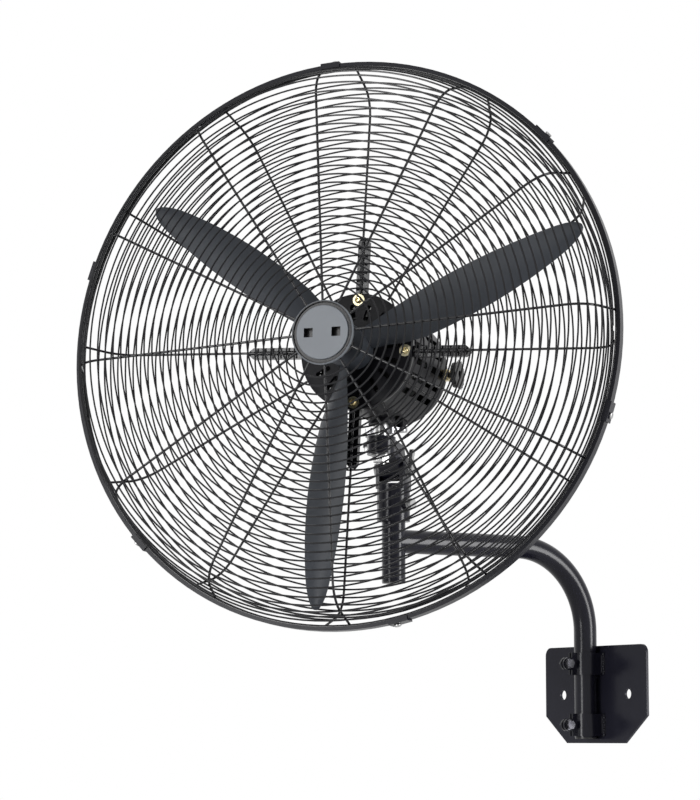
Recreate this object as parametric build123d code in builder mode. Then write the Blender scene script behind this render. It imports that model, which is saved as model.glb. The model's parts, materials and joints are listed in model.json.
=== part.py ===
from build123d import *
from math import atan2, cos, degrees, radians, sin
import os

os.makedirs("parts", exist_ok=True)

# An oscillating fan with a guard of 747 mm, held off the wall by a bent tube.
# The wall is the plane y = 0, the fan stands off it towards -y, and z is up.

# Driving dimensions, in millimetres and degrees
guard_diameter = 747.0
blade_sweep = 690.0
tube_diameter = 32.0
tube_wall = 2.0
arm_reach = 323.5
arm_height = 203.0
arm_bend_radius = 115.0
tube_foot = -60.0
head_turn = 37.0
head_tilt = 3.6
pivot_height = 300.0
pivot_to_hoop = 215.0
pivot_to_axis = 133.0

plate_width = 230.0
plate_top = 68.0
plate_shoulder = -30.0
plate_foot_width = 132.0
plate_thickness = 4.0
plate_corner = 12.0
wall_hole_spacing = 148.0
wall_hole_diameter = 14.0

collar_height = 31.0
collar_middle = 42.5
collar_thickness = 3.5
ear_middle = 2.9
ear_thickness = 3.0
ear_reach = 42.9
ear_bolt_reach = 49.5
lobe_radius = 8.5

running_gap = 0.05
tube_axis_y = -(plate_thickness + tube_diameter / 2 + 0.3)
post_y = tube_axis_y - arm_reach
post_foot = 148.0
post_top = 272.0

socket_diameter = 44.6
socket_foot = 229.0
socket_top = 280.0
yoke_gap = 28.8
yoke_ear_thickness = 5.0
yoke_ear_radius = 17.0
tilt_bolt_diameter = 10.0

# The fan's own directions: to its side, out of its face, and up its face
turn, tilt = radians(head_turn), radians(head_tilt)
across = Vector(cos(turn), sin(turn), 0)
outward = Vector(sin(turn), -cos(turn), 0)
facing = outward * cos(tilt) + Vector(0, 0, sin(tilt))
rising = facing.cross(across)
pivot = Vector(0, post_y, pivot_height)
hoop_centre = pivot + facing * pivot_to_hoop + rising * pivot_to_axis
spin_axis = Axis(hoop_centre, facing)

# Places along the fan's axis, measured from the middle of the hoop
shield_front = -60.0
shield_back = -66.0
cross_front = -66.2
casing_front = -69.4
casing_back = -226.0
hub_front = -10.0
hub_back = -50.0
wheel_middle = -28.0
rim_middle = -2.0
swing_place = -165.0
crank_place = -193.0
crank_side = 17.2

ring_wire = 2.2
rib_wire = 3.2
rim_wire = 5.0
weld_sink = 0.15
rib_count = 12
front_rib_turn = 3.5
rear_rib_turn = -2.0


def face_plane(forward):
    """Square to the fan's axis: x to the fan's side, y up its face."""
    return Plane(origin=hoop_centre + facing * forward, x_dir=across, z_dir=facing)


def deck_plane(height):
    """Level with the fan's axis: x to the side, y towards the back of the fan."""
    return Plane(origin=hoop_centre + rising * height, x_dir=across, z_dir=rising)


def side_plane(offset):
    """Along the fan's axis and up: x forward, y up, seen from its side."""
    return Plane(origin=hoop_centre + across * offset, x_dir=facing, z_dir=-across)


def spoke(angle):
    """Straight out from the fan's axis, counted from its side towards its top."""
    return across * cos(radians(angle)) + rising * sin(radians(angle))


turned_plane = Plane(origin=hoop_centre, x_dir=across, z_dir=-rising)


def save(part, name):
    part.label = name
    export_step(part, f"parts/{name}.step")


# Wall plate: square shoulders on top, cut corners below, one hole each side
with BuildPart() as wall_plate:
    with BuildSketch(Plane.XZ):
        with BuildLine():
            Polyline(
                (-plate_width / 2, plate_top),
                (plate_width / 2, plate_top),
                (plate_width / 2, plate_shoulder),
                (plate_foot_width / 2, -plate_top),
                (-plate_foot_width / 2, -plate_top),
                (-plate_width / 2, plate_shoulder),
                close=True,
            )
        make_face()
        fillet(vertices().group_by(Axis.Y)[-1], plate_corner)
        with GridLocations(wall_hole_spacing, 0, 2, 1):
            Circle(wall_hole_diameter / 2, mode=Mode.SUBTRACT)
    extrude(amount=plate_thickness)
save(wall_plate.part, "wall_plate")

# Two pinch collars welded to the plate, each split in front with a bolted ear on both halves
collar_inner = tube_diameter / 2 + running_gap
collar_outer = collar_inner + collar_thickness
collar_depth = -plate_thickness - tube_axis_y
ear_plane_y = -plate_thickness - ear_reach
ear_bolt_y = -plate_thickness - ear_bolt_reach
weld_leg = 4.0
weld_length = 24.0


def make_collar(middle):
    foot = middle - collar_height / 2
    with BuildPart() as collar:
        with BuildSketch(Plane.XY.offset(foot)):
            with Locations((0, tube_axis_y)):
                Circle(collar_outer)
                with Locations((0, collar_depth / 2)):
                    Rectangle(2 * collar_outer, collar_depth)
            with Locations((0, (ear_plane_y + tube_axis_y) / 2)):
                Rectangle(2 * ear_middle + ear_thickness, tube_axis_y - ear_plane_y)
            with Locations((0, tube_axis_y)):
                Circle(collar_inner, mode=Mode.SUBTRACT)
                with Locations((0, collar_depth / 2)):
                    Rectangle(2 * collar_inner, collar_depth, mode=Mode.SUBTRACT)
            with Locations((0, tube_axis_y - collar_depth)):
                Rectangle(2 * ear_middle - ear_thickness, 2 * ear_reach, mode=Mode.SUBTRACT)
            with Locations((0, -plate_thickness + collar_outer)):
                Rectangle(2 * collar_outer, 2 * collar_outer, mode=Mode.SUBTRACT)
        extrude(amount=collar_height)
        for side in (-1, 1):
            with BuildSketch(Plane.YZ.offset(side * ear_middle)):
                with Locations((ear_bolt_y, middle)):
                    Circle(lobe_radius)
                with Locations(((ear_bolt_y + ear_plane_y + 2) / 2, middle)):
                    Rectangle(ear_plane_y + 2 - ear_bolt_y, 2 * lobe_radius)
            extrude(amount=ear_thickness / 2, both=True)
            with BuildSketch(Plane.XY.offset(middle - weld_length / 2)):
                with BuildLine():
                    Polyline(
                        (side * collar_outer, -plate_thickness),
                        (side * (collar_outer + weld_leg), -plate_thickness),
                        (side * collar_outer, -plate_thickness - weld_leg),
                        close=True,
                    )
                make_face()
            extrude(amount=weld_length)
        with BuildSketch(Plane.YZ):
            with Locations((ear_bolt_y, middle)):
                Circle(clamp_bolt_radius + 0.2)
        extrude(amount=3 * ear_middle, both=True, mode=Mode.SUBTRACT)
    return collar


clamp_bolt_radius = 4.0
clamp_head_height = 5.3
clamp_washer_thickness = 1.6
ear_face = ear_middle + ear_thickness / 2
upper_collar = make_collar(collar_middle)
save(upper_collar.part, "upper_tube_collar")
lower_collar = make_collar(-collar_middle)
save(lower_collar.part, "lower_tube_collar")

collar_bolt_places = [(ear_bolt_y, collar_middle), (ear_bolt_y, -collar_middle)]
with BuildPart() as collar_bolts:
    with BuildSketch(Plane.YZ.offset(ear_face + clamp_washer_thickness)):
        with Locations(*collar_bolt_places):
            RegularPolygon(5.5, 6, major_radius=False)
    extrude(amount=clamp_head_height)
    with BuildSketch(Plane.YZ.offset(ear_face + clamp_washer_thickness)):
        with Locations(*collar_bolt_places):
            Circle(clamp_bolt_radius - running_gap)
    extrude(amount=-16)
save(collar_bolts.part, "collar_bolts")

with BuildPart() as collar_washers:
    with BuildSketch(Plane.YZ.offset(ear_face)):
        with Locations(*collar_bolt_places):
            Circle(7)
            Circle(clamp_bolt_radius + 0.2, mode=Mode.SUBTRACT)
    extrude(amount=clamp_washer_thickness)
save(collar_washers.part, "collar_washers")

with BuildPart() as collar_nuts:
    with BuildSketch(Plane.YZ.offset(-ear_face)):
        with Locations(*collar_bolt_places):
            RegularPolygon(5.5, 6, major_radius=False)
            Circle(clamp_bolt_radius, mode=Mode.SUBTRACT)
    extrude(amount=-5)
save(collar_nuts.part, "collar_nuts")

# Arm: one bent tube, its end cut to sit against the upright post
with BuildPart() as arm_tube:
    with BuildLine(Plane.YZ):
        FilletPolyline(
            (tube_axis_y, tube_foot),
            (tube_axis_y, arm_height),
            (post_y, arm_height),
            radius=arm_bend_radius,
        )
    with BuildSketch(Plane(origin=(0, tube_axis_y, tube_foot), z_dir=(0, 0, 1))):
        Circle(tube_diameter / 2)
        Circle(tube_diameter / 2 - tube_wall, mode=Mode.SUBTRACT)
    sweep()
    with BuildSketch(Plane.XY.offset(post_foot)):
        with Locations((0, post_y)):
            Circle(tube_diameter / 2)
    extrude(amount=post_top - post_foot, mode=Mode.SUBTRACT)
    split(bisect_by=Plane(origin=(0, post_y, 0), z_dir=(0, 1, 0)), keep=Keep.TOP)
save(arm_tube.part, "arm_tube")

with BuildPart() as post_tube:
    with BuildSketch(Plane.XY.offset(post_foot)):
        with Locations((0, post_y)):
            Circle(tube_diameter / 2)
            Circle(tube_diameter / 2 - tube_wall, mode=Mode.SUBTRACT)
    extrude(amount=post_top - post_foot)
save(post_tube.part, "post_tube")

plug_depth = 12.0
plug_lip = 2.0
plug_radius = tube_diameter / 2 - tube_wall
with BuildPart() as tube_plugs:
    for place, top in ((tube_axis_y, tube_foot), (post_y, post_foot)):
        with BuildSketch(Plane.XY.offset(top)):
            with Locations((0, place)):
                Circle(plug_radius)
        extrude(amount=plug_depth)
        with BuildSketch(Plane.XY.offset(top)):
            with Locations((0, place)):
                Circle(tube_diameter / 2 - 0.4)
        extrude(amount=-plug_lip)
save(tube_plugs.part, "tube_plugs")

# Swivel socket: slips over the post, carries two upright ears, and is held by a bolt
set_bolt_angle = radians(71)
set_bolt_height = 252.0
set_bolt_way = outward * cos(set_bolt_angle) + across * sin(set_bolt_angle)
set_boss_radius = 9.0
set_boss_reach = 27.0
yoke_plane = Plane(origin=(0, post_y, 0), x_dir=across, z_dir=(0, 0, 1))
ear_plane = Plane(origin=pivot, x_dir=outward, z_dir=-across)
yoke_half = yoke_gap / 2 + yoke_ear_thickness
deck_thickness = 7.0


def set_bolt_plane(reach):
    return Plane(origin=Vector(0, post_y, set_bolt_height) + set_bolt_way * reach, z_dir=set_bolt_way)


with BuildPart() as swivel_socket:
    with BuildSketch(yoke_plane.offset(socket_foot)):
        Circle(socket_diameter / 2)
    extrude(amount=socket_top - socket_foot)
    with BuildSketch(yoke_plane.offset(socket_top - deck_thickness)):
        Rectangle(2 * yoke_half, 2 * yoke_ear_radius)
    extrude(amount=deck_thickness)
    with BuildSketch(set_bolt_plane(0)):
        Circle(set_boss_radius)
    extrude(amount=set_boss_reach)
    with BuildSketch(yoke_plane.offset(socket_foot)):
        Circle(tube_diameter / 2 + running_gap)
    extrude(amount=post_top + 1 - socket_foot, mode=Mode.SUBTRACT)
    with BuildSketch(set_bolt_plane(0)):
        Circle(4)
    extrude(amount=set_boss_reach, mode=Mode.SUBTRACT)
    for side in (-1, 1):
        with BuildSketch(ear_plane.offset(side * (yoke_gap + yoke_ear_thickness) / 2)):
            Circle(yoke_ear_radius)
            with Locations((0, (socket_top - 4 - pivot_height) / 2)):
                Rectangle(2 * yoke_ear_radius, pivot_height - socket_top + 4)
            Circle(tilt_bolt_diameter / 2 + running_gap, mode=Mode.SUBTRACT)
        extrude(amount=yoke_ear_thickness / 2, both=True)
    fillet(swivel_socket.edges().filter_by(GeomType.CIRCLE).sort_by(Axis.Z)[0], 0.5)
save(swivel_socket.part, "swivel_socket")

with BuildPart() as socket_bolt:
    with BuildSketch(set_bolt_plane(tube_diameter / 2 + 0.15)):
        Circle(4 - running_gap)
    extrude(amount=set_boss_reach + 2 - tube_diameter / 2)
    with BuildSketch(set_bolt_plane(set_boss_reach + 1.6)):
        RegularPolygon(6.5, 6, major_radius=False)
    extrude(amount=clamp_head_height)
save(socket_bolt.part, "socket_bolt")

with BuildPart() as socket_washer:
    with BuildSketch(set_bolt_plane(set_boss_reach)):
        Circle(8.5)
        Circle(4.2, mode=Mode.SUBTRACT)
    extrude(amount=1.6)
save(socket_washer.part, "socket_washer")

# Tilt bolt through both ears, with a hand lever screwed on its end
lever_hub_radius = 9.0
lever_hub_height = 8.0
lever_length = 23.0
bolt_reach = yoke_half + lever_hub_height + 1.6
with BuildPart() as tilt_bolt:
    with BuildSketch(ear_plane.offset(yoke_half)):
        RegularPolygon(8, 6, major_radius=False)
    extrude(amount=6)
    with BuildSketch(ear_plane.offset(yoke_half)):
        Circle(tilt_bolt_diameter / 2)
    extrude(amount=-(yoke_half + bolt_reach))
save(tilt_bolt.part, "tilt_bolt")

with BuildPart() as tilt_washer:
    with BuildSketch(ear_plane.offset(-yoke_half)):
        Circle(10)
        Circle(tilt_bolt_diameter / 2 + 0.2, mode=Mode.SUBTRACT)
    extrude(amount=-1.5)
save(tilt_washer.part, "tilt_washer")

with BuildPart() as tilt_lever:
    with BuildSketch(ear_plane.offset(-yoke_half - 1.6)):
        Circle(lever_hub_radius)
        Circle(tilt_bolt_diameter / 2 + running_gap, mode=Mode.SUBTRACT)
    extrude(amount=-lever_hub_height)
    with BuildSketch(ear_plane.offset(-yoke_half - 1.6 - lever_hub_height / 2)):
        with Locations((lever_length / 2 * sin(radians(-12)), lever_length / 2 + 4)):
            Rectangle(8, lever_length - 8, rotation=12)
        with Locations((lever_length * sin(radians(-12)), lever_length * cos(radians(-12)))):
            Circle(5)
    extrude(amount=2.5, both=True)
save(tilt_lever.part, "tilt_lever")

# Tilt head: a tongue between the ears that carries the upright bearing of the swing
tongue_half = yoke_gap / 2 - 0.2
tongue_radius = 16.0
swing_forward = pivot_to_hoop + swing_place
boss_radius = 19.0
boss_foot = -121.0
boss_top = -97.0
bush_radius = 11.0
swing_shaft_radius = 8.0
tongue_plane = Plane(origin=pivot, x_dir=facing, z_dir=-across)
link_ear_thickness = 6.0
link_ear_top = boss_top - 1.0
swing_boss_foot = -80.0
crank_top = swing_boss_foot - 1.0
crank_thickness = 4.5
link_thickness = 4.0
link_top = crank_top - crank_thickness - 0.5
link_foot = link_top - link_thickness
crank_to_swing = Vector(-crank_side, swing_place - crank_place).normalized()
crank_throw = 17.5
link_length = 45.0
crank_pin = (
    crank_side + crank_throw * crank_to_swing.X,
    -crank_place - crank_throw * crank_to_swing.Y,
)
link_anchor = (
    crank_pin[0] - link_length * crank_to_swing.Y,
    crank_pin[1] - link_length * crank_to_swing.X,
)
swing_spot = (0, -swing_place)

with BuildPart() as tilt_head:
    with BuildSketch(tongue_plane):
        Circle(tongue_radius)
        with BuildLine():
            Polyline(
                (-11, 11),
                (-2, 32),
                (swing_forward, boss_top + pivot_to_axis),
                (swing_forward, boss_foot + pivot_to_axis + 2),
                (swing_forward - 18, boss_foot + pivot_to_axis),
                (8, -13),
                close=True,
            )
        make_face()
        Circle(tilt_bolt_diameter / 2 + 2 * running_gap, mode=Mode.SUBTRACT)
    extrude(amount=tongue_half, both=True)
    with BuildSketch(deck_plane(boss_foot)):
        with Locations(swing_spot):
            Circle(boss_radius)
    extrude(amount=boss_top - boss_foot)
    with BuildSketch(deck_plane(link_ear_top - link_ear_thickness)):
        with Locations(((swing_spot[0] + link_anchor[0]) / 2, (swing_spot[1] + link_anchor[1]) / 2)):
            Rectangle(
                (Vector(*swing_spot) - Vector(*link_anchor)).length,
                15,
                rotation=degrees(
                    atan2(link_anchor[1] - swing_spot[1], link_anchor[0] - swing_spot[0])
                ),
            )
        with Locations(link_anchor):
            Circle(9)
            Circle(4, mode=Mode.SUBTRACT)
    extrude(amount=link_ear_thickness)
    with BuildSketch(deck_plane(boss_foot - 1)):
        with Locations(swing_spot):
            Circle(bush_radius)
    extrude(amount=boss_top - boss_foot + 2, mode=Mode.SUBTRACT)
save(tilt_head.part, "tilt_head")

with BuildPart() as swing_bush:
    with BuildSketch(deck_plane(boss_foot)):
        with Locations(swing_spot):
            Circle(bush_radius)
            Circle(swing_shaft_radius + running_gap, mode=Mode.SUBTRACT)
    extrude(amount=boss_top - boss_foot)
save(swing_bush.part, "swing_bush")

with BuildPart() as anchor_bolt:
    with BuildSketch(deck_plane(link_ear_top - link_ear_thickness)):
        with Locations(link_anchor):
            RegularPolygon(6.5, 6, major_radius=False)
    extrude(amount=-5.3)
    with BuildSketch(deck_plane(link_ear_top - link_ear_thickness)):
        with Locations(link_anchor):
            Circle(4 - running_gap)
    extrude(amount=link_foot - 0.5 - link_ear_top + link_ear_thickness)
save(anchor_bolt.part, "anchor_bolt")

# Swing shaft, fixed under the gearbox and turning in the bush
gearbox_foot = -65.0
gearbox_half = 32.0
gearbox_front = -146.0
gearbox_back = -212.0
gearbox_top = 20.0
gearbox_wall = 3.0
with BuildPart() as swing_shaft:
    with BuildSketch(deck_plane(boss_foot - 13)):
        with Locations(swing_spot):
            Circle(6)
    extrude(amount=13)
    with BuildSketch(deck_plane(boss_foot)):
        with Locations(swing_spot):
            Circle(swing_shaft_radius)
    extrude(amount=swing_boss_foot + 8 - boss_foot)
    with BuildSketch(deck_plane(boss_top + 0.3)):
        with Locations(swing_spot):
            Circle(9)
    extrude(amount=swing_boss_foot - boss_top - 0.4)
save(swing_shaft.part, "swing_shaft")

with BuildPart() as swing_washer:
    with BuildSketch(deck_plane(boss_foot - 0.3)):
        with Locations(swing_spot):
            Circle(13)
            Circle(6.2, mode=Mode.SUBTRACT)
    extrude(amount=-2)
save(swing_washer.part, "swing_washer")

with BuildPart() as swing_nut:
    with BuildSketch(deck_plane(boss_foot - 2.3)):
        with Locations(swing_spot):
            RegularPolygon(9.5, 6, major_radius=False)
            Circle(6, mode=Mode.SUBTRACT)
    extrude(amount=-8)
save(swing_nut.part, "swing_nut")

# Gearbox: a lidded box behind the motor, with two round bosses out of the casing's underside
gearbox_middle = (0, -(gearbox_front + gearbox_back) / 2)
gearbox_length = gearbox_front - gearbox_back
motor_shaft_radius = 7.5
crank_shaft_radius = 4.0
crank_spot = (crank_side, -crank_place)
swing_boss_radius = 18.0
crank_boss_radius = 7.0
with BuildPart() as gearbox_housing:
    with BuildSketch(deck_plane(gearbox_foot)):
        with Locations(gearbox_middle):
            RectangleRounded(2 * gearbox_half, gearbox_length, 10)
    extrude(amount=gearbox_top - gearbox_foot)
    with BuildSketch(deck_plane(swing_boss_foot)):
        with Locations(swing_spot):
            Circle(swing_boss_radius)
        with Locations(crank_spot):
            Circle(crank_boss_radius)
    extrude(amount=gearbox_foot + 1 - swing_boss_foot)
    with BuildSketch(deck_plane(gearbox_foot + 6)):
        with Locations(gearbox_middle):
            RectangleRounded(
                2 * (gearbox_half - gearbox_wall), gearbox_length - 2 * gearbox_wall, 6
            )
    extrude(amount=gearbox_top - gearbox_foot, mode=Mode.SUBTRACT)
    with BuildSketch(deck_plane(swing_boss_foot)):
        with Locations(swing_spot):
            Circle(swing_shaft_radius)
    extrude(amount=8, mode=Mode.SUBTRACT)
    with BuildSketch(deck_plane(swing_boss_foot)):
        with Locations(crank_spot):
            Circle(crank_shaft_radius + running_gap)
    extrude(amount=gearbox_foot + 7 - swing_boss_foot, mode=Mode.SUBTRACT)
    with BuildSketch(face_plane(gearbox_front + 1)):
        Circle(motor_shaft_radius + 1)
    extrude(amount=-gearbox_wall - 2, mode=Mode.SUBTRACT)
save(gearbox_housing.part, "gearbox_housing")

lid_thickness = 4.0
with BuildPart() as gearbox_lid:
    with BuildSketch(deck_plane(gearbox_top)):
        with Locations(gearbox_middle):
            RectangleRounded(2 * gearbox_half, gearbox_length, 10)
    extrude(amount=lid_thickness)
save(gearbox_lid.part, "gearbox_lid")

# Crank under the gearbox, and the link that holds its pin to the tilt head
wheel_radius = 11.0
wheel_thickness = 10.0
link_pin_radius = 3.0
with BuildPart() as crank:
    with BuildSketch(deck_plane(crank_top)):
        with Locations(crank_spot):
            Circle(9)
        with Locations(((crank_spot[0] + crank_pin[0]) / 2, (crank_spot[1] + crank_pin[1]) / 2)):
            Rectangle(
                crank_throw,
                11,
                rotation=degrees(atan2(crank_pin[1] - crank_spot[1], crank_pin[0] - crank_spot[0])),
            )
        with Locations(crank_pin):
            Circle(5.5)
    extrude(amount=-crank_thickness)
    with BuildSketch(deck_plane(crank_top)):
        with Locations(crank_spot):
            Circle(crank_shaft_radius)
    extrude(amount=wheel_thickness - crank_top)
    with BuildSketch(deck_plane(crank_top - crank_thickness)):
        with Locations(crank_pin):
            Circle(link_pin_radius)
    extrude(amount=-link_thickness - 1.2)
save(crank.part, "swing_crank")

link_vector = Vector(link_anchor[0] - crank_pin[0], link_anchor[1] - crank_pin[1])
with BuildPart() as swing_link:
    with BuildSketch(deck_plane(link_top)):
        with Locations(((crank_pin[0] + link_anchor[0]) / 2, (crank_pin[1] + link_anchor[1]) / 2)):
            Rectangle(link_length, 9, rotation=degrees(atan2(link_vector.Y, link_vector.X)))
        with Locations(crank_pin, link_anchor):
            Circle(6)
            Circle(link_pin_radius + running_gap, mode=Mode.SUBTRACT)
    extrude(amount=-link_thickness)
    with BuildSketch(deck_plane(link_top)):
        with Locations(link_anchor):
            RegularPolygon(6, 6, major_radius=False)
    extrude(amount=8)
save(swing_link.part, "swing_link")

wheel_teeth = 20
tooth_depth = 1.8
with BuildPart() as worm_wheel:
    with BuildSketch(deck_plane(-wheel_thickness / 2)):
        with Locations(crank_spot):
            Circle(wheel_radius - tooth_depth)
            with PolarLocations(wheel_radius - tooth_depth / 2 - 0.1, wheel_teeth):
                Rectangle(tooth_depth, 1.7)
            Circle(crank_shaft_radius + running_gap, mode=Mode.SUBTRACT)
    extrude(amount=wheel_thickness)
save(worm_wheel.part, "worm_wheel")

# Motor: shaft, rotor, stator, windings, bearings and end shields
shaft_front = hub_front + 16
shaft_back = -208.0
worm_length = 24.0
worm_radius = 6.0
bearing_radius = 17.5
bearing_width = 11.0
core_front = -86.0
core_back = -126.0
core_radius = 62.0
rotor_radius = 35.6
casing_radius = 74.5
casing_wall = 1.5
front_bearing_place = -64.0
rear_bearing_place = -132.0
with BuildPart() as motor_shaft:
    with BuildSketch(turned_plane):
        with BuildLine():
            Polyline(
                (0, shaft_front),
                (6, shaft_front),
                (6, hub_front + 2),
                (motor_shaft_radius, hub_front),
                (motor_shaft_radius, -150),
                (4.5, -151),
                (4.5, crank_place + worm_length / 2),
                (worm_radius, crank_place + worm_length / 2),
                (worm_radius, shaft_back + 2),
                (4, shaft_back),
                (0, shaft_back),
                close=True,
            )
        make_face()
        with Locations((worm_radius, crank_place)):
            with GridLocations(0, 3.4, 1, 6):
                Rectangle(3, 1.7, mode=Mode.SUBTRACT)
    revolve(axis=spin_axis)
save(motor_shaft.part, "motor_shaft")

with BuildPart() as rotor_core:
    with BuildSketch(face_plane(core_back)):
        Circle(rotor_radius)
        Circle(motor_shaft_radius, mode=Mode.SUBTRACT)
    extrude(amount=core_front - core_back)
    with BuildSketch(face_plane(core_front), face_plane(core_back - 6)):
        Circle(rotor_radius - 3)
        Circle(rotor_radius - 12, mode=Mode.SUBTRACT)
    extrude(amount=6)
save(rotor_core.part, "rotor_core")

slot_count = 24
with BuildPart() as stator_core:
    with BuildSketch(face_plane(core_back)):
        Circle(core_radius)
        Circle(rotor_radius + 0.5, mode=Mode.SUBTRACT)
        with PolarLocations(rotor_radius + 8.5, slot_count):
            Rectangle(11, 5, mode=Mode.SUBTRACT)
    extrude(amount=core_front - core_back)
save(stator_core.part, "stator_core")

winding_height = 7.0
with BuildPart() as stator_windings:
    for end_face in (core_front, core_back - winding_height):
        with BuildSketch(face_plane(end_face)):
            Circle(rotor_radius + 15)
            Circle(rotor_radius + 3, mode=Mode.SUBTRACT)
        extrude(amount=winding_height)
    chamfer(stator_windings.edges().filter_by(GeomType.CIRCLE), 1.5)
save(stator_windings.part, "stator_windings")

with BuildPart() as motor_bearings:
    for back_face in (front_bearing_place - bearing_width, rear_bearing_place - bearing_width):
        with BuildSketch(face_plane(back_face)):
            Circle(bearing_radius)
            Circle(motor_shaft_radius + running_gap, mode=Mode.SUBTRACT)
        extrude(amount=bearing_width)
save(motor_bearings.part, "motor_bearings")

shield_radius = 77.5
shield_bolt_radius = 68.4
with BuildPart() as front_shield:
    with BuildSketch(face_plane(shield_back)):
        Circle(shield_radius)
    extrude(amount=shield_front - shield_back)
    fillet(front_shield.edges().filter_by(GeomType.CIRCLE).sort_by(spin_axis)[-1], 2)
    with BuildSketch(face_plane(front_bearing_place - bearing_width)):
        Circle(bearing_radius + 4)
    extrude(amount=bearing_width)
    with BuildSketch(face_plane(shield_front)):
        with PolarLocations(52, 16, start_angle=6.4):
            SlotOverall(22, 6.5)
        with PolarLocations(shield_bolt_radius, 4, start_angle=rear_rib_turn):
            Circle(3.2)
        Circle(motor_shaft_radius + 1)
    extrude(amount=shield_back - shield_front, mode=Mode.SUBTRACT)
    with BuildSketch(face_plane(front_bearing_place)):
        Circle(bearing_radius)
    extrude(amount=-bearing_width - 1, mode=Mode.SUBTRACT)
save(front_shield.part, "front_shield")

with BuildPart() as rear_shield:
    with BuildSketch(face_plane(rear_bearing_place - bearing_width)):
        Circle(bearing_radius + 4)
    extrude(amount=bearing_width)
    with BuildSketch(face_plane(rear_bearing_place - 5)):
        Circle(casing_radius - casing_wall - 0.3)
        with PolarLocations(46, 8, start_angle=rear_rib_turn + 22.5):
            SlotOverall(30, 9, mode=Mode.SUBTRACT)
    extrude(amount=4)
    with BuildSketch(face_plane(rear_bearing_place + 1)):
        Circle(bearing_radius)
    extrude(amount=-bearing_width - 2, mode=Mode.SUBTRACT)
save(rear_shield.part, "rear_shield")

# Casing round the motor and gearbox, with rows of cooling windows, open below for the gearbox
slot_length = 52.0
slot_width = 9.0
slot_middles = (-107.0, -170.0)
slots_round = 17
slot_start = -40.0
slot_step = 16.25
casing_corner = 12.0
under_opening_half = 25.5
under_opening_front = -145.0
under_opening_back = -202.0
switch_place = (-203, -9)
switch_collar = 6.0
with BuildPart() as motor_casing:
    with BuildSketch(turned_plane):
        with BuildLine():
            FilletPolyline(
                (casing_radius, casing_front),
                (casing_radius, casing_back),
                (0, casing_back),
                radius=casing_corner,
            )
            FilletPolyline(
                (casing_radius - casing_wall, casing_front),
                (casing_radius - casing_wall, casing_back + casing_wall),
                (0, casing_back + casing_wall),
                radius=casing_corner - casing_wall,
            )
            Line((casing_radius, casing_front), (casing_radius - casing_wall, casing_front))
            Line((0, casing_back), (0, casing_back + casing_wall))
        make_face()
    revolve(axis=spin_axis)
    with BuildSketch(deck_plane(-casing_radius - 2)):
        with Locations((0, -(under_opening_front + under_opening_back) / 2)):
            RectangleRounded(2 * under_opening_half, under_opening_front - under_opening_back, 8)
    extrude(amount=30, mode=Mode.SUBTRACT)
    for slot in range(slots_round):
        outward_here = spoke(slot_start + slot * slot_step)
        slot_plane = Plane(
            origin=hoop_centre + outward_here * (casing_radius + 1), x_dir=facing, z_dir=outward_here
        )
        with BuildSketch(slot_plane):
            with Locations(*[(middle, 0) for middle in slot_middles]):
                SlotOverall(slot_length, slot_width)
        extrude(amount=-casing_wall - 2.5, mode=Mode.SUBTRACT)
    with BuildSketch(side_plane(casing_radius - 8)):
        with Locations(switch_place):
            Circle(switch_collar)
    extrude(amount=-12, mode=Mode.SUBTRACT)

save(motor_casing.part, "motor_casing")

# Cross behind the rear guard: a ring under the shield bolts and four arms, each with a trough
arm_width = 14.6
arm_tip = 154.6
arm_depth = 9.0
trough_width = 5.6
trough_start = 84.5
trough_end = arm_tip - 6
trough_depth = 6.5
with BuildPart() as guard_cross:
    with BuildSketch(face_plane(cross_front)):
        Circle(shield_radius)
        Circle(casing_radius - 16, mode=Mode.SUBTRACT)
        with PolarLocations(shield_bolt_radius, 4, start_angle=rear_rib_turn):
            Circle(3.2, mode=Mode.SUBTRACT)
    extrude(amount=-3)
    for arm in range(4):
        arm_plane = Plane(
            origin=hoop_centre + facing * cross_front,
            x_dir=spoke(rear_rib_turn + 90 * arm),
            z_dir=facing,
        )
        with BuildSketch(arm_plane):
            with BuildLine():
                Polyline(
                    (74.5, -arm_width / 2),
                    (arm_tip - 6, -arm_width / 2),
                    (arm_tip, -arm_width / 2 + 5),
                    (arm_tip, arm_width / 2 - 5),
                    (arm_tip - 6, arm_width / 2),
                    (74.5, arm_width / 2),
                    close=True,
                )
            make_face()
        extrude(amount=-arm_depth)
        with BuildSketch(arm_plane):
            with Locations(((trough_start + trough_end) / 2, 0)):
                SlotOverall(trough_end - trough_start, trough_width)
        extrude(amount=-trough_depth, mode=Mode.SUBTRACT)
save(guard_cross.part, "guard_cross")

with BuildPart() as shield_bolts:
    with BuildSketch(face_plane(shield_front + 1.2)):
        with PolarLocations(shield_bolt_radius, 4, start_angle=rear_rib_turn):
            RegularPolygon(5, 6, major_radius=False)
    extrude(amount=4)
    with BuildSketch(face_plane(shield_front + 1.2)):
        with PolarLocations(shield_bolt_radius, 4, start_angle=rear_rib_turn):
            Circle(3)
    extrude(amount=-26)
save(shield_bolts.part, "shield_bolts")

with BuildPart() as shield_washers:
    with BuildSketch(face_plane(shield_front)):
        with PolarLocations(shield_bolt_radius, 4, start_angle=rear_rib_turn):
            Circle(8)
            Circle(3.2, mode=Mode.SUBTRACT)
    extrude(amount=1.2)
save(shield_washers.part, "shield_washers")

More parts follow.
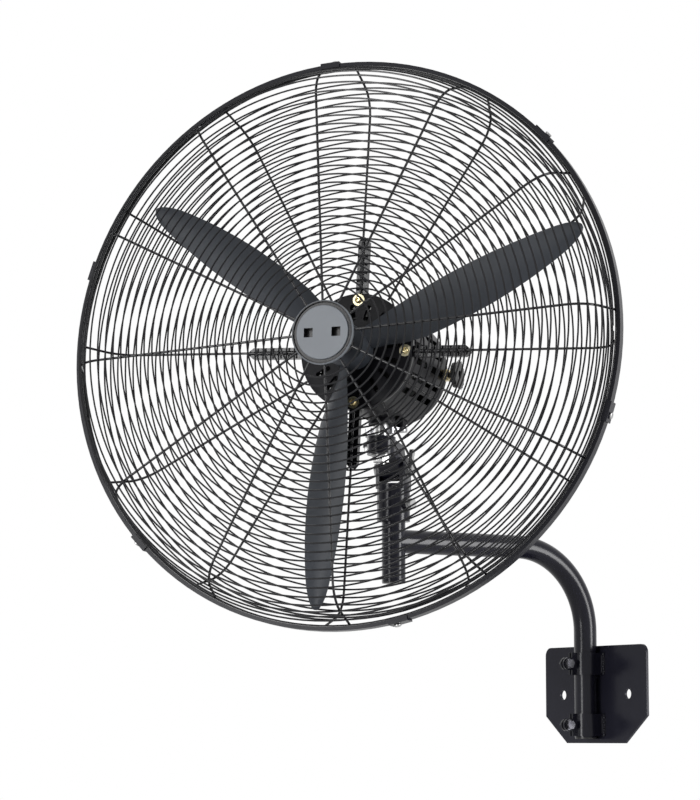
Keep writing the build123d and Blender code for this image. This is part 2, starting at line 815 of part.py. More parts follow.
# Lugs inside the casing take the shield bolts
with BuildPart() as casing_lugs:
    with BuildSketch(face_plane(casing_front)):
        with PolarLocations(shield_bolt_radius - 2.5, 4, start_angle=rear_rib_turn):
            Rectangle(16.2, 13)
        with PolarLocations(shield_bolt_radius, 4, start_angle=rear_rib_turn):
            Circle(3.05, mode=Mode.SUBTRACT)
    extrude(amount=-15)
    with BuildSketch(face_plane(casing_front)):
        Circle(casing_radius + 9)
        Circle(casing_radius - casing_wall, mode=Mode.SUBTRACT)
    extrude(amount=-15, mode=Mode.SUBTRACT)
save(casing_lugs.part, "casing_lugs")

# Run capacitor in the casing and the cable gland on its back
with BuildPart() as run_capacitor:
    with BuildSketch(deck_plane(34)):
        with Locations((0, 172)):
            RectangleRounded(44, 26, 3)
    extrude(amount=24)
save(run_capacitor.part, "run_capacitor")

gland_spot = (-34, 20)
with BuildPart() as cable_gland:
    with BuildSketch(face_plane(casing_back)):
        with Locations(gland_spot):
            RegularPolygon(9, 6, major_radius=False)
            Circle(4, mode=Mode.SUBTRACT)
    extrude(amount=-6)
    with BuildSketch(face_plane(casing_back - 6)):
        with Locations(gland_spot):
            Circle(7.5)
            Circle(4, mode=Mode.SUBTRACT)
    extrude(amount=-11)
save(cable_gland.part, "cable_gland")

# Speed switch on the side of the casing, with a turning knob
knob_radius = 17.0
knob_foot = 88.0
knob_height = 9.0
with BuildPart() as speed_switch:
    with BuildSketch(side_plane(casing_radius - casing_wall - 26)):
        with Locations(switch_place):
            RectangleRounded(21, 21, 3)
    extrude(amount=-20)
    with BuildSketch(side_plane(casing_radius - casing_wall - 6)):
        with Locations(switch_place):
            Circle(5)
    extrude(amount=-13)
    with BuildSketch(side_plane(casing_radius)):
        with Locations(switch_place):
            Circle(3)
    extrude(amount=knob_foot + 4 - casing_radius, dir=across)
save(speed_switch.part, "speed_switch")

with BuildPart() as switch_nut:
    with BuildSketch(side_plane(casing_radius + 0.8)):
        with Locations(switch_place):
            RegularPolygon(7.5, 6, major_radius=False)
            Circle(5, mode=Mode.SUBTRACT)
    extrude(amount=-6)
save(switch_nut.part, "switch_nut")

with BuildPart() as speed_knob:
    with BuildSketch(side_plane(knob_foot)):
        with Locations(switch_place):
            Circle(knob_radius)
    extrude(amount=-knob_height)
    fillet(speed_knob.edges().filter_by(GeomType.CIRCLE).sort_by(Axis(hoop_centre, across))[-1], 6)
    with BuildSketch(side_plane(knob_foot)):
        with Locations(switch_place):
            Circle(3 + running_gap)
    extrude(amount=-5, mode=Mode.SUBTRACT)
save(speed_knob.part, "speed_knob")

# Blade wheel: three blades of constant pitch moulded on one hub
hub_radius = 28.0
blade_angle = 23.7
blade_pitch_rise = 58.0
blade_thickness = 4.0
blade_stations = (
    (22.0, 34.0, -2.0),
    (45.0, 42.0, -5.0),
    (70.0, 50.0, -7.0),
    (100.0, 56.0, -7.6),
    (130.0, 59.0, -6.4),
    (160.0, 60.5, -5.5),
    (195.0, 60.0, -4.7),
    (225.0, 57.0, -3.7),
    (255.0, 51.5, -2.7),
    (280.0, 45.5, -1.5),
    (300.0, 39.5, -0.6),
    (315.0, 34.0, 0.3),
    (327.0, 27.5, 1.2),
    (336.0, 20.0, 1.8),
    (342.0, 12.5, 2.0),
)
blade_tip_place = (blade_sweep / 2, 5.0, 2.0)


def blade_section(angle, reach, chord, shift):
    """One section of a blade: a thin bar across the blade, turned to the pitch at its radius."""
    radial = spoke(angle)
    trailing = rising * cos(radians(angle)) - across * sin(radians(angle))
    pitch = atan2(blade_pitch_rise, max(reach, 45.0))
    chord_way = trailing * cos(pitch) + facing * sin(pitch)
    middle = hoop_centre + facing * wheel_middle + radial * reach + chord_way * shift
    plane = Plane(origin=middle, x_dir=chord_way, z_dir=radial)
    thickness = min(blade_thickness, chord * 0.4)
    with BuildSketch(plane) as section:
        with BuildLine():
            bow = chord * 0.06
            ThreePointArc((-chord / 2, 0), (0, bow + thickness / 2), (chord / 2, 0))
            ThreePointArc((chord / 2, 0), (0, bow - thickness / 2), (-chord / 2, 0))
        make_face()
    return section.sketch


with BuildPart() as blade_wheel:
    for blade in range(3):
        angle = blade_angle + 120 * blade
        sections = [blade_section(angle, *place) for place in (*blade_stations, blade_tip_place)]
        loft(sections, ruled=True)
    with BuildSketch(face_plane(hub_back)):
        Circle(hub_radius)
    extrude(amount=hub_front - hub_back)
    with BuildSketch(face_plane(hub_back)):
        Circle(motor_shaft_radius)
    extrude(amount=hub_front - hub_back, mode=Mode.SUBTRACT)
save(blade_wheel.part, "blade_wheel")

with BuildPart() as hub_washer:
    with BuildSketch(face_plane(hub_front)):
        Circle(14)
        Circle(6 + 1.6, mode=Mode.SUBTRACT)
    extrude(amount=2)
save(hub_washer.part, "hub_washer")

with BuildPart() as hub_nut:
    with BuildSketch(face_plane(hub_front + 2)):
        RegularPolygon(9.5, 6, major_radius=False)
        Circle(6, mode=Mode.SUBTRACT)
    extrude(amount=10)
save(hub_nut.part, "hub_nut")

# Guards: each a thin wire wound outwards over bent ribs and welded to them, with a thicker wire round its rim
rim_radius = guard_diameter / 2 - 5.2
rim_place = 4.05
rib_corner_radius = 40.0
rib_corner = 343.5
ring_pitch = 11.15
front_rib_start = 24.0
front_first_ring = 54.5
front_face_count = 26
front_level = 57.2
front_slope = 2.0
rear_rib_start = 78.5
rear_first_ring = 82.3
rear_face_count = 23
rear_level = 64.4
rear_slope = 0.0
shoulder_count = 4
joint_gap = 0.1


def rib_path(start, sign, level, slope):
    """A rib from near the axis, out along the face and round the shoulder to the rim."""
    return FilletPolyline(
        (start, sign * (level + slope)),
        (rib_corner, sign * level),
        (rim_radius - rim_wire / 2, rim_middle + sign * rim_place),
        radius=rib_corner_radius,
    )


def make_ribs(start, sign, level, slope, turn_by):
    with BuildPart() as ribs:
        for rib in range(rib_count):
            radial = spoke(turn_by + 360 / rib_count * rib)
            plane = Plane(origin=hoop_centre, x_dir=radial, z_dir=radial.cross(facing))
            with BuildLine(plane) as path:
                rib_path(start, sign, level, slope)
            with BuildSketch(Plane(origin=path.line @ 0, z_dir=path.line % 0)):
                Circle(rib_wire / 2)
            sweep(path=path.line)
    return ribs


def wire_places(start, sign, level, slope, first, turns):
    """Every half turn of the wound wire, as (reach, forward), sunk a little into the ribs below it."""
    with BuildLine() as path:
        rib_path(start, sign, level, slope)
    rib = path.wires()[0]
    lift = rib_wire / 2 + ring_wire / 2 - weld_sink
    places = []
    for number in range(2 * turns + 1):
        along = (first - start + number * ring_pitch / 2) / rib.length
        way = rib % along
        places.append(rib @ along + Vector(-way.Y, way.X) * lift)
    return places


def wind_wire(places, way_round):
    """Half circles from side to side, with a hair of room between them so that each is its own solid."""
    with BuildPart() as wire:
        for number, (begin, end) in enumerate(zip(places, places[1:])):
            side = across if number % 2 == 0 else across * -1
            start = hoop_centre + side * begin.X + facing * begin.Y
            finish = hoop_centre - side * end.X + facing * end.Y
            chord = finish - start
            along = side.cross(facing) * -way_round
            with BuildSketch(Plane(origin=start, x_dir=facing, z_dir=along)):
                RegularPolygon(ring_wire / 2, 8, major_radius=False)
            turn_by = 180 - degrees(2 * joint_gap / chord.length)
            revolve(axis=Axis((start + finish) / 2, along.cross(chord)), revolution_arc=turn_by)
    return wire


front_ribs = make_ribs(front_rib_start, 1, front_level, front_slope, front_rib_turn)
save(front_ribs.part, "front_guard_ribs")
rear_ribs = make_ribs(rear_rib_start, -1, rear_level, rear_slope, rear_rib_turn)
save(rear_ribs.part, "rear_guard_ribs")

front_places = wire_places(
    front_rib_start, 1, front_level, front_slope, front_first_ring, front_face_count + shoulder_count
)
front_face = wind_wire(front_places[: 2 * front_face_count + 1], -1)
save(front_face.part, "front_face_rings")
front_shoulder = wind_wire(front_places[2 * front_face_count :], -1)
save(front_shoulder.part, "front_shoulder_rings")

rear_places = wire_places(
    rear_rib_start, -1, rear_level, rear_slope, rear_first_ring, rear_face_count + shoulder_count
)
rear_face = wind_wire(rear_places[: 2 * rear_face_count + 1], 1)
save(rear_face.part, "rear_face_rings")
rear_shoulder = wind_wire(rear_places[2 * rear_face_count :], 1)
save(rear_shoulder.part, "rear_shoulder_rings")

with BuildPart() as front_rim:
    with BuildSketch(turned_plane):
        with Locations((rim_radius, rim_middle + rim_place)):
            Circle(rim_wire / 2)
    revolve(axis=spin_axis)
save(front_rim.part, "front_rim_wire")

with BuildPart() as rear_rim:
    with BuildSketch(turned_plane):
        with Locations((rim_radius, rim_middle - rim_place)):
            Circle(rim_wire / 2)
    revolve(axis=spin_axis)
save(rear_rim.part, "rear_rim_wire")

# Hoop: a shallow channel that holds both rim wires together, and its six clips
hoop_half = 7.6
hoop_sheet = 1.0
hoop_lip = 5.0
hoop_radius = guard_diameter / 2
with BuildPart() as guard_hoop:
    with BuildSketch(turned_plane):
        with Locations((hoop_radius - hoop_lip / 2, rim_middle)):
            Rectangle(hoop_lip, 2 * hoop_half)
        with Locations((hoop_radius - hoop_sheet - hoop_lip / 2, rim_middle)):
            Rectangle(hoop_lip, 2 * (hoop_half - hoop_sheet), mode=Mode.SUBTRACT)
    revolve(axis=spin_axis)
save(guard_hoop.part, "guard_hoop")

clip_angles = (43.9, -16.1, -75.8, -136.5, 162.6, 93.6)
clip_length = 26.0
clip_sheet = 2.0
clip_half = hoop_half + clip_sheet


def clip_plane(angle, reach):
    """Lies on the hoop's outside: x along the rim, y forward, z out from the axis."""
    radial = spoke(angle)
    middle = hoop_centre + facing * rim_middle + radial * reach
    return Plane(origin=middle, x_dir=facing.cross(radial), z_dir=radial)


with BuildPart() as rim_clips:
    for angle in clip_angles:
        with BuildSketch(clip_plane(angle, hoop_radius - 5.5)):
            with Locations((-3, 0)):
                Rectangle(clip_length, 2 * clip_half)
        extrude(amount=5.5 + clip_sheet)
    with BuildSketch(turned_plane):
        with Locations((hoop_radius / 2, rim_middle)):
            Rectangle(hoop_radius, 2 * hoop_half)
    revolve(axis=spin_axis, mode=Mode.SUBTRACT)
save(rim_clips.part, "rim_clips")

with BuildPart() as clip_screws:
    for angle in clip_angles:
        with BuildSketch(clip_plane(angle, hoop_radius + clip_sheet)):
            with Locations((-7, 0)):
                Circle(4.5)
        extrude(amount=3)
    chamfer(clip_screws.edges().group_by(SortBy.LENGTH)[-1], 0.8)
save(clip_screws.part, "clip_screws")

# Badge over the middle of the front guard: plain face, two square holes
badge_radius = 41.8
badge_back = 60.9
badge_front = 65.0
face_radius = 35.3
groove_radius = 39.0
groove_floor = 62.9
hole_side = 12.0
hole_spacing = 37.6
with BuildPart() as badge_cap:
    with BuildSketch(turned_plane):
        with BuildLine():
            Polyline(
                (0, badge_back + 1),
                (badge_radius - 2, badge_back + 1),
                (badge_radius - 2, badge_back),
                (badge_radius, badge_back),
                (badge_radius, badge_front - 1),
                (badge_radius - 1.2, badge_front),
                (groove_radius + 0.6, badge_front),
                (groove_radius, badge_front - 0.8),
                (groove_radius, groove_floor),
                (face_radius, groove_floor),
                (face_radius, badge_front - 0.8),
                (face_radius - 0.8, badge_front),
                (0, badge_front),
                close=True,
            )
        make_face()
    revolve(axis=spin_axis)
    with BuildSketch(face_plane(badge_front)):
        with GridLocations(hole_spacing, 0, 2, 1):
            Rectangle(hole_side, hole_side)
    extrude(amount=-3.5, mode=Mode.SUBTRACT)
save(badge_cap.part, "badge_cap")

with BuildPart() as badge_plate:
    with BuildSketch(face_plane(front_level - 3.6)):
        Circle(39)
        with PolarLocations(30, 4, start_angle=front_rib_turn + 15):
            Circle(2.1, mode=Mode.SUBTRACT)
    extrude(amount=2)
save(badge_plate.part, "badge_plate")

with BuildPart() as badge_screws:
    with BuildSketch(face_plane(front_level - 3.6)):
        with PolarLocations(30, 4, start_angle=front_rib_turn + 15):
            Circle(3.8)
    extrude(amount=-2.4)
    with BuildSketch(face_plane(front_level - 3.6)):
        with PolarLocations(30, 4, start_angle=front_rib_turn + 15):
            Circle(2)
    extrude(amount=badge_back + 0.9 - front_level + 3.6)
save(badge_screws.part, "badge_screws")

print("hoop centre", hoop_centre, "facing", facing, "rising", rising)
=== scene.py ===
import json
import math
import random

import bmesh
import bpy
from mathutils import Matrix, Vector


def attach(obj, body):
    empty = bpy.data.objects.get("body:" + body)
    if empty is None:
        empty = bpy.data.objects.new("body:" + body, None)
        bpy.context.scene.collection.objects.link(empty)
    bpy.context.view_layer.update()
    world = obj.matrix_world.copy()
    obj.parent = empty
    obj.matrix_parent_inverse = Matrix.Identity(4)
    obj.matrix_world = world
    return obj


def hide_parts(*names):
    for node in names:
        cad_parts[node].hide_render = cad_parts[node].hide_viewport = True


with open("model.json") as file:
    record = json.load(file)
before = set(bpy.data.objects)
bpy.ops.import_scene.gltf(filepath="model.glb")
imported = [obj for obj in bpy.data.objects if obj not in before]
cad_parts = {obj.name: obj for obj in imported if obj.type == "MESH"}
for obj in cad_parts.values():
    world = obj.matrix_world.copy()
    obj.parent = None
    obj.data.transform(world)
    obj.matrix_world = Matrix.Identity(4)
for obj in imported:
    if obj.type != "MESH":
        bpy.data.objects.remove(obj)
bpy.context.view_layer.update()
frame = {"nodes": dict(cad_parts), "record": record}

nodes = frame["nodes"]
scene = bpy.context.scene
print("frame loaded:", len(nodes), "nodes")

# The camera stands to the fan's right and a little below it, looking up
cameraFacts = {"place": (3.0337, -2.3568, -0.0584), "azimuth": 57.36, "pitch": 7.1, "lens": 121.5,
               "sensor": 36, "clipEnd": 60}
azimuth, pitch = math.radians(cameraFacts["azimuth"]), math.radians(cameraFacts["pitch"])
rightWay = Vector((math.cos(azimuth), math.sin(azimuth), 0))
levelWay = Vector((-math.sin(azimuth), math.cos(azimuth), 0))
lookWay = levelWay * math.cos(pitch) + Vector((0, 0, 1)) * math.sin(pitch)
upWay = rightWay.cross(lookWay)
cameraData = bpy.data.cameras.new("camera")
cameraData.lens = cameraFacts["lens"]
cameraData.sensor_width = cameraFacts["sensor"]
cameraData.clip_end = cameraFacts["clipEnd"]
camera = bpy.data.objects.new("camera", cameraData)
scene.collection.objects.link(camera)
turnMatrix = Matrix((rightWay, upWay, -lookWay)).transposed().to_4x4()
camera.matrix_world = Matrix.Translation(cameraFacts["place"]) @ turnMatrix
scene.camera = camera

# The fan's own directions, as the CAD has them
headFacts = {"turn": 37.0, "tilt": 3.6, "pivot": (0, -0.3438, 0.3), "forward": 0.215, "above": 0.133}
turn, tilt = math.radians(headFacts["turn"]), math.radians(headFacts["tilt"])
across = Vector((math.cos(turn), math.sin(turn), 0))
outward = Vector((math.sin(turn), -math.cos(turn), 0))
facing = outward * math.cos(tilt) + Vector((0, 0, 1)) * math.sin(tilt)
rising = facing.cross(across)
hoopCentre = Vector(headFacts["pivot"]) + facing * headFacts["forward"] + rising * headFacts["above"]
toHead = Matrix.Translation(hoopCentre) @ Matrix((across, rising, facing)).transposed().to_4x4()

# Materials. Each finish has a cloudy colour from dark to light, an uneven roughness,
# and a fine grain (scale, height)
surfaceFacts = {"cloud": 9.0, "cloudDetail": 4.0, "ramp": (0.3, 0.7), "wear": 40.0, "wearDetail": 3.0,
                "grainDetail": 2.0, "bump": 0.3, "metal": 0.0, "specular": 0.5}


def noiseNode(nodeList, links, scale, detail):
    coordinates = nodeList.new("ShaderNodeTexCoord")
    noise = nodeList.new("ShaderNodeTexNoise")
    noise.inputs["Scale"].default_value = scale
    noise.inputs["Detail"].default_value = detail
    links.new(coordinates.outputs["Object"], noise.inputs["Vector"])
    return noise.outputs["Fac"]


def makeFinish(name, ownFacts):
    facts = {**surfaceFacts, **ownFacts}
    material = bpy.data.materials.new(name)
    material.use_nodes = True
    nodeList, links = material.node_tree.nodes, material.node_tree.links
    shader = nodeList["Principled BSDF"]
    shader.inputs["Metallic"].default_value = facts["metal"]
    shader.inputs["Specular IOR Level"].default_value = facts["specular"]
    ramp = nodeList.new("ShaderNodeValToRGB")
    colours = (facts["dark"], facts["light"])
    for element, position, colour in zip(ramp.color_ramp.elements, facts["ramp"], colours):
        element.position = position
        element.color = (*colour, 1)
    links.new(noiseNode(nodeList, links, facts["cloud"], facts["cloudDetail"]), ramp.inputs["Fac"])
    links.new(ramp.outputs["Color"], shader.inputs["Base Color"])
    span = nodeList.new("ShaderNodeMapRange")
    span.inputs["To Min"].default_value, span.inputs["To Max"].default_value = facts["rough"]
    links.new(noiseNode(nodeList, links, facts["wear"], facts["wearDetail"]), span.inputs["Value"])
    links.new(span.outputs["Result"], shader.inputs["Roughness"])
    grainScale, grainHeight = facts["grain"]
    bump = nodeList.new("ShaderNodeBump")
    bump.inputs["Strength"].default_value = facts["bump"]
    bump.inputs["Distance"].default_value = grainHeight
    links.new(noiseNode(nodeList, links, grainScale, facts["grainDetail"]), bump.inputs["Height"])
    links.new(bump.outputs["Normal"], shader.inputs["Normal"])
    return material


finishFacts = {
    "plateEnamel": {"dark": (0.008, 0.008, 0.014), "light": (0.017, 0.017, 0.025), "rough": (0.16, 0.26),
                    "grain": (220.0, 0.0002), "cloud": 6.0, "specular": 0.1},
    "tubeEnamel": {"dark": (0.004, 0.004, 0.008), "light": (0.008, 0.008, 0.013), "rough": (0.17, 0.25),
                   "grain": (260.0, 0.0002), "cloud": 8.0, "specular": 0.2, "bump": 0.04},
    "guardEnamel": {"dark": (0.003, 0.003, 0.004), "light": (0.006, 0.006, 0.008), "rough": (0.14, 0.24),
                    "grain": (400.0, 0.0001), "cloud": 12.0, "specular": 0.3},
    "hoopEnamel": {"dark": (0.004, 0.004, 0.007), "light": (0.008, 0.008, 0.012), "rough": (0.2, 0.3),
                   "grain": (300.0, 0.0002), "cloud": 8.0, "specular": 0.1, "bump": 0.15},
    "motorEnamel": {"dark": (0.003, 0.003, 0.004), "light": (0.006, 0.006, 0.008), "rough": (0.3, 0.42),
                    "grain": (500.0, 0.0003), "cloud": 10.0, "specular": 0.07},
    "castAluminium": {"dark": (0.3, 0.3, 0.31), "light": (0.44, 0.44, 0.45), "rough": (0.35, 0.5),
                      "grain": (500.0, 0.0004), "metal": 1.0},
    "yellowZinc": {"dark": (0.5, 0.38, 0.17), "light": (0.7, 0.62, 0.38), "rough": (0.18, 0.3),
                   "grain": (600.0, 0.0002), "cloud": 90.0, "metal": 1.0},
    "paleZinc": {"dark": (0.34, 0.31, 0.2), "light": (0.52, 0.48, 0.34), "rough": (0.3, 0.42),
                 "grain": (600.0, 0.0002), "cloud": 90.0, "metal": 1.0},
    "darkZinc": {"dark": (0.05, 0.05, 0.06), "light": (0.12, 0.12, 0.13), "rough": (0.22, 0.36),
                 "grain": (500.0, 0.0002), "cloud": 90.0, "metal": 1.0},
    "brightSteel": {"dark": (0.3, 0.3, 0.3), "light": (0.44, 0.44, 0.44), "rough": (0.3, 0.42),
                    "grain": (500.0, 0.0001), "cloud": 60.0, "metal": 1.0},
    "platedLinks": {"dark": (0.18, 0.18, 0.19), "light": (0.3, 0.3, 0.31), "rough": (0.2, 0.34),
                    "grain": (400.0, 0.0002), "cloud": 50.0, "metal": 1.0},
    "bronze": {"dark": (0.4, 0.24, 0.1), "light": (0.55, 0.36, 0.16), "rough": (0.25, 0.35),
               "grain": (500.0, 0.0002), "cloud": 40.0, "metal": 1.0},
    "laminations": {"dark": (0.12, 0.12, 0.13), "light": (0.24, 0.24, 0.26), "rough": (0.35, 0.5),
                    "grain": (900.0, 0.0003), "cloud": 30.0, "metal": 1.0},
    "windings": {"dark": (0.3, 0.08, 0.03), "light": (0.5, 0.16, 0.06), "rough": (0.25, 0.4),
                 "grain": (700.0, 0.0008), "cloud": 120.0, "metal": 0.6},
    "bladePlastic": {"dark": (0.019, 0.022, 0.027), "light": (0.030, 0.034, 0.042), "rough": (0.42, 0.55),
                     "grain": (900.0, 0.0002), "cloud": 7.0, "specular": 0.3},
    "badgePlastic": {"dark": (0.112, 0.123, 0.138), "light": (0.130, 0.142, 0.158), "rough": (0.34, 0.46),
                     "grain": (900.0, 0.0002), "cloud": 20.0, "specular": 0.3},
    # Painted shade for the badge's groove and hole insides, and the own black of its outer lip
    "badgeLipAndShade": {"dark": (0.003, 0.003, 0.004), "light": (0.006, 0.006, 0.008), "rough": (0.1, 0.2),
                    "grain": (900.0, 0.0002), "cloud": 20.0, "specular": 0.12},
    # Real black plastic of the knob and badge, also used as painted shade on the motor's inner parts
    "blackPlasticAndShade": {"dark": (0.008, 0.008, 0.008), "light": (0.015, 0.015, 0.015), "rough": (0.3, 0.45),
                     "grain": (900.0, 0.0002), "cloud": 30.0, "specular": 0.35},
}
finishes = {name: makeFinish(name, facts) for name, facts in finishFacts.items()}
slotFinish = {
    "plate_enamel": "plateEnamel", "tube_enamel": "tubeEnamel", "guard_enamel": "guardEnamel",
    "motor_enamel": "motorEnamel", "bare_aluminium": "castAluminium", "zinc_bolts": "yellowZinc",
    "bright_steel": "brightSteel", "plated_links": "platedLinks", "bearing_bronze": "bronze",
    "lamination_steel": "laminations", "winding_wire": "windings", "blade_plastic": "bladePlastic",
    "badge_plastic": "badgePlastic", "black_plastic": "blackPlasticAndShade",
}
# Nodes that look different from the rest of their slot
nodeFinish = {
    "upper_tube_collar": "tubeEnamel", "lower_tube_collar": "tubeEnamel", "collar_bolts": "darkZinc",
    "collar_washers": "darkZinc", "shield_washers": "paleZinc", "guard_hoop": "hoopEnamel",
    "rim_clips": "hoopEnamel", "badge_plate": "blackPlasticAndShade", "badge_screws": "blackPlasticAndShade",
    # Painted shade: the stator core, windings and rotor core are black so the motor's inside looks shaded
    # through the casing slots
    "stator_core": "blackPlasticAndShade", "stator_windings": "blackPlasticAndShade", "rotor_core": "blackPlasticAndShade",
}
slotOf = {subpart["node"]: subpart["material_slot"] for subpart in frame["record"]["subparts"]}


def finishOf(nodeName):
    return finishes[nodeFinish.get(nodeName, slotFinish[slotOf[nodeName]])]


for nodeName in slotOf:
    for materialSlot in nodes[nodeName].material_slots:
        materialSlot.material = finishOf(nodeName)
print("materials on", len(nodes), "nodes")


def onHead(side, up, forward):
    return hoopCentre + across * side + rising * up + facing * forward


def placeAt(origin, axis, side):
    return Matrix.Translation(origin) @ Matrix((side, axis.cross(side), axis)).transposed().to_4x4()


def markSharp(shape, angle):
    for face in shape.faces:
        face.smooth = True
    for edge in shape.edges:
        edge.smooth = len(edge.link_faces) == 2 and edge.calc_face_angle(0) < math.radians(angle)


def putPiece(name, shape, material, body, hides):
    mesh = bpy.data.meshes.new(name)
    shape.to_mesh(mesh)
    shape.free()
    mesh.materials.append(material)
    piece = bpy.data.objects.new(name, mesh)
    scene.collection.objects.link(piece)
    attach(piece, body)
    if hides:
        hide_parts(*hides)
    print("piece", name, len(mesh.polygons), "faces")
    return piece


# Each of these nodes is welded into one skin, so that its curves shade smoothly
skinFacts = {"weld": 0.000005, "sharp": 35, "nodes": {
    "wall_bracket": ("upper_tube_collar", "lower_tube_collar"),
    "arm": ("arm_tube", "post_tube", "tube_plugs"),
    "yoke": ("swivel_socket",),
    "tilting_neck": ("tilt_head",),
    "head": ("motor_casing", "front_shield", "guard_hoop", "badge_cap", "guard_cross", "front_rim_wire",
             "rear_rim_wire", "front_guard_ribs", "rear_guard_ribs"),
    "rotor": ("blade_wheel",),
}}
skins = {}
for body, names in skinFacts["nodes"].items():
    for nodeName in names:
        skinShape = bmesh.new()
        skinShape.from_mesh(nodes[nodeName].data)
        bmesh.ops.remove_doubles(skinShape, verts=skinShape.verts, dist=skinFacts["weld"])
        markSharp(skinShape, skinFacts["sharp"])
        skins[nodeName] = putPiece(nodeName + "Skin", skinShape, finishOf(nodeName), body,
                                   (nodeName,))
print("smooth skins made")

# The badge's groove and the inside of its two square holes are painted black as painted shade; the outer lip
# in the same band is black as its own colour
badgeFacts = {"groove": (0.0353, 0.0406), "top": 0.0648, "hole": 0.0062, "holeMiddle": 0.0188}
badgeMesh = skins["badge_cap"].data
badgeMesh.materials.append(finishes["badgeLipAndShade"])
toFan = toHead.inverted()
for face in badgeMesh.polygons:
    spot = toFan @ face.center
    inGroove = badgeFacts["groove"][0] < math.hypot(spot.x, spot.y) < badgeFacts["groove"][1]
    inHole = max(abs(abs(spot.x) - badgeFacts["holeMiddle"]), abs(spot.y)) < badgeFacts["hole"]
    if inGroove or (inHole and spot.z < badgeFacts["top"]):
        face.material_index = 1
print("badge painted")

# Four pan heads on the motor's front shield, each with a deep socket.
# The outlines are shares of the radius and the height
screwFacts = {"circle": 0.0684, "turn": -2.0, "count": 4, "level": -0.0588, "radius": 0.0048,
              "height": 0.0038, "socket": 0.0022, "socketOutline": ((0, 0.25), (0.9, 0.25), (1, 0.97)),
              "headOutline": ((0.6, 1), (0.85, 0.8), (0.98, 0.45), (1, 0), (0, 0)), "steps": 32,
              "weld": 0.00001, "sharp": 35}
screwShape = bmesh.new()
for number in range(screwFacts["count"]):
    panHead = bmesh.new()
    outline = []
    for radius, shares in ((screwFacts["socket"], screwFacts["socketOutline"]),
                           (screwFacts["radius"], screwFacts["headOutline"])):
        for wide, high in shares:
            outline.append(panHead.verts.new((radius * wide, 0, screwFacts["height"] * high)))
    edges = [panHead.edges.new(pair) for pair in zip(outline, outline[1:])]
    bmesh.ops.spin(panHead, geom=outline + edges, cent=(0, 0, 0), axis=(0, 0, 1), angle=2 * math.pi,
                   steps=screwFacts["steps"], use_merge=True)
    bmesh.ops.remove_doubles(panHead, verts=panHead.verts, dist=screwFacts["weld"])
    spoke = math.radians(screwFacts["turn"] + 360 / screwFacts["count"] * number)
    place = onHead(screwFacts["circle"] * math.cos(spoke), screwFacts["circle"] * math.sin(spoke),
                   screwFacts["level"])
    bmesh.ops.transform(panHead, matrix=placeAt(place, facing, across), verts=panHead.verts)
    holder = bpy.data.meshes.new("holder")
    panHead.to_mesh(holder)
    panHead.free()
    screwShape.from_mesh(holder)
    bpy.data.meshes.remove(holder)
bmesh.ops.recalc_face_normals(screwShape, faces=screwShape.faces)
markSharp(screwShape, screwFacts["sharp"])
putPiece("shieldScrews", screwShape, finishes["yellowZinc"], "head", ("shield_bolts",))

# Lumpy weld beads down both sides of each collar, on the plate
weldFacts = {"lumps": 9, "radius": 0.0027, "swell": (0.85, 1.2), "squash": (1.0, 0.85, 0.8),
             "stray": 0.0004, "length": 0.027, "side": 0.0212, "depth": -0.0052,
             "heights": (0.0425, -0.0425), "seed": 4, "sharp": 60}
weldShape = bmesh.new()
random.seed(weldFacts["seed"])
for height in weldFacts["heights"]:
    for side in (-1, 1):
        for lump in range(weldFacts["lumps"]):
            along = height + weldFacts["length"] * (lump / (weldFacts["lumps"] - 1) - 0.5)
            lumpRadius = weldFacts["radius"] * random.uniform(*weldFacts["swell"])
            ball = bmesh.ops.create_icosphere(weldShape, subdivisions=2, radius=lumpRadius)["verts"]
            bmesh.ops.scale(weldShape, verts=ball, vec=weldFacts["squash"])
            aside = side * weldFacts["side"] + random.uniform(-weldFacts["stray"], weldFacts["stray"])
            bmesh.ops.translate(weldShape, verts=ball, vec=(aside, weldFacts["depth"], along))
bmesh.ops.recalc_face_normals(weldShape, faces=weldShape.faces)
markSharp(weldShape, weldFacts["sharp"])
putPiece("collarWelds", weldShape, finishes["tubeEnamel"], "wall_bracket", ())

# The speed knob: a fluted cap on the motor's side. Each step of its crown is an inset (width, rise)
knobFacts = {"radius": 0.017, "wall": 0.0063, "foot": 0.088, "forward": -0.203, "up": -0.009,
             "flutes": 18, "fluteSteps": 4, "fluteShare": 0.93,
             "crown": ((0.0016, 0.0019), (0.0022, 0.0008), (0.0045, -0.0006)), "sharp": 50}
knobShape = bmesh.new()
rimSteps = knobFacts["flutes"] * knobFacts["fluteSteps"]
rim = bmesh.ops.create_circle(knobShape, cap_ends=True, segments=rimSteps, radius=knobFacts["radius"])["verts"]
for corner in rim[::knobFacts["fluteSteps"]]:
    corner.co *= knobFacts["fluteShare"]
raised = bmesh.ops.extrude_face_region(knobShape, geom=knobShape.faces[:])["geom"]
lifted = [item for item in raised if isinstance(item, bmesh.types.BMVert)]
bmesh.ops.translate(knobShape, verts=lifted, vec=(0, 0, knobFacts["wall"]))
crown = [item for item in raised if isinstance(item, bmesh.types.BMFace)]
for width, rise in knobFacts["crown"]:
    bmesh.ops.inset_region(knobShape, faces=crown, thickness=width, depth=rise, use_even_offset=True)
bmesh.ops.recalc_face_normals(knobShape, faces=knobShape.faces)
markSharp(knobShape, knobFacts["sharp"])
knobPlace = onHead(knobFacts["foot"], knobFacts["up"], knobFacts["forward"])
bmesh.ops.transform(knobShape, matrix=placeAt(knobPlace, across, facing), verts=knobShape.verts)
putPiece("speedKnob", knobShape, finishes["blackPlasticAndShade"], "knob", ("speed_knob",))


def seenRay(nodeList, links):
    # One for the rays that show the background: seen by the camera, mirrored, or through glass
    lightPath = nodeList.new("ShaderNodeLightPath")
    result = lightPath.outputs["Is Camera Ray"]
    for ray in ("Is Transmission Ray", "Is Glossy Ray"):
        larger = nodeList.new("ShaderNodeMath")
        larger.operation = "MAXIMUM"
        links.new(result, larger.inputs[0])
        links.new(lightPath.outputs[ray], larger.inputs[1])
        result = larger.outputs[0]
    return result


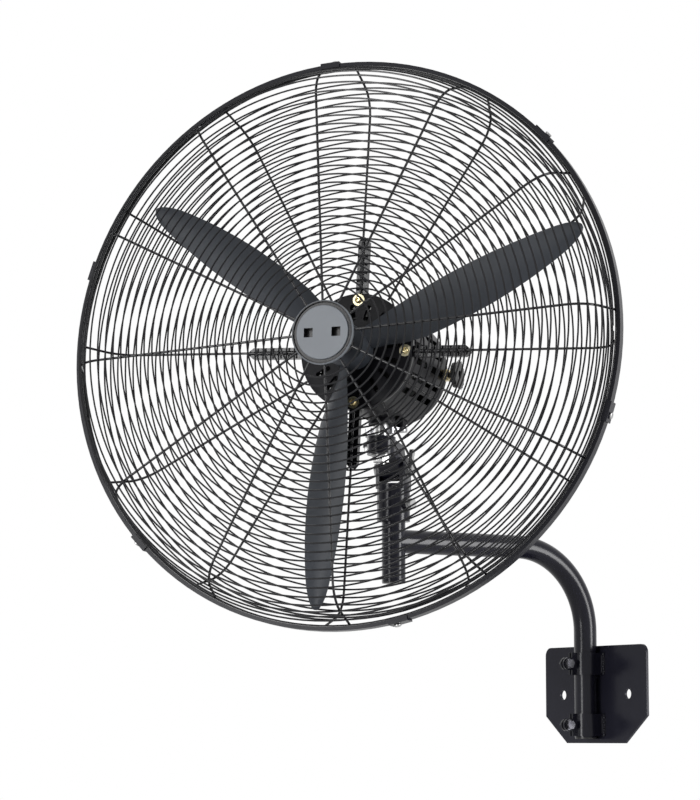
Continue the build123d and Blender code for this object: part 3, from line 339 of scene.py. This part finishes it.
# A white world that lights the fan more softly than it shows
worldFacts = {"light": 0.42, "shown": 1.0}
world = bpy.data.worlds.new("world")
world.use_nodes = True
scene.world = world
worldNodes, worldLinks = world.node_tree.nodes, world.node_tree.links
background = worldNodes["Background"]
background.inputs["Color"].default_value = (1, 1, 1, 1)
worldStrength = worldNodes.new("ShaderNodeMapRange")
worldStrength.inputs["To Min"].default_value = worldFacts["light"]
worldStrength.inputs["To Max"].default_value = worldFacts["shown"]
worldLinks.new(seenRay(worldNodes, worldLinks), worldStrength.inputs["Value"])
worldLinks.new(worldStrength.outputs["Result"], background.inputs["Strength"])

# A pale floor well below the fan, with some of the background's white in it
floorFacts = {"height": -0.9, "size": 12.0, "glow": 0.7, "dark": (0.8, 0.8, 0.8), "light": (0.84, 0.84, 0.84),
              "rough": (0.8, 0.9), "grain": (60.0, 0.0005), "specular": 0.1}
floorShape = bmesh.new()
bmesh.ops.create_grid(floorShape, x_segments=1, y_segments=1, size=floorFacts["size"])
bmesh.ops.translate(floorShape, verts=floorShape.verts, vec=(0, 0, floorFacts["height"]))
floorMesh = bpy.data.meshes.new("floor")
floorShape.to_mesh(floorMesh)
floorShape.free()
floor = bpy.data.objects.new("floor", floorMesh)
scene.collection.objects.link(floor)
floorPaper = makeFinish("floorPaper", floorFacts)
floorNodes, floorLinks = floorPaper.node_tree.nodes, floorPaper.node_tree.links
floorGlow = floorNodes.new("ShaderNodeEmission")
floorMix = floorNodes.new("ShaderNodeMixShader")
floorShare = floorNodes.new("ShaderNodeMath")
floorShare.operation = "MULTIPLY"
floorShare.inputs[1].default_value = floorFacts["glow"]
floorLinks.new(seenRay(floorNodes, floorLinks), floorShare.inputs[0])
floorLinks.new(floorShare.outputs[0], floorMix.inputs["Fac"])
floorLinks.new(floorNodes["Principled BSDF"].outputs["BSDF"], floorMix.inputs[1])
floorLinks.new(floorGlow.outputs["Emission"], floorMix.inputs[2])
floorLinks.new(floorMix.outputs["Shader"], floorNodes["Material Output"].inputs["Surface"])
floorMesh.materials.append(floorPaper)

# Soft lamps. The two strips make the long highlights on the tubes
lampFacts = {
    "keyLamp": {"place": (1.2, -3.6, 2.6), "target": (0.1, -0.4, 0.35), "size": (1.6, 1.6), "power": 22},
    "fillLamp": {"place": (-3.4, -0.9, 1.2), "target": (0.1, -0.4, 0.35), "size": (1.2, 2.0), "power": 14},
    "sideStrip": {"place": (3.03, 1.7, 0.25), "target": (0, -0.2, 0.1), "size": (1.1, 2.4), "power": 135},
    "frontStrip": {"place": (0.73, -3.42, 0.5), "target": (0, -0.2, 0.1), "size": (0.7, 2.0), "power": 60},
}
for name, facts in lampFacts.items():
    lampData = bpy.data.lights.new(name, "AREA")
    lampData.shape = "RECTANGLE"
    lampData.size, lampData.size_y = facts["size"]
    lampData.energy = facts["power"]
    lamp = bpy.data.objects.new(name, lampData)
    scene.collection.objects.link(lamp)
    way = Vector(facts["target"]) - Vector(facts["place"])
    lamp.matrix_world = Matrix.Translation(facts["place"]) @ way.to_track_quat("-Z", "Y").to_matrix().to_4x4()
scene.view_settings.view_transform = "Standard"
print("stage set")
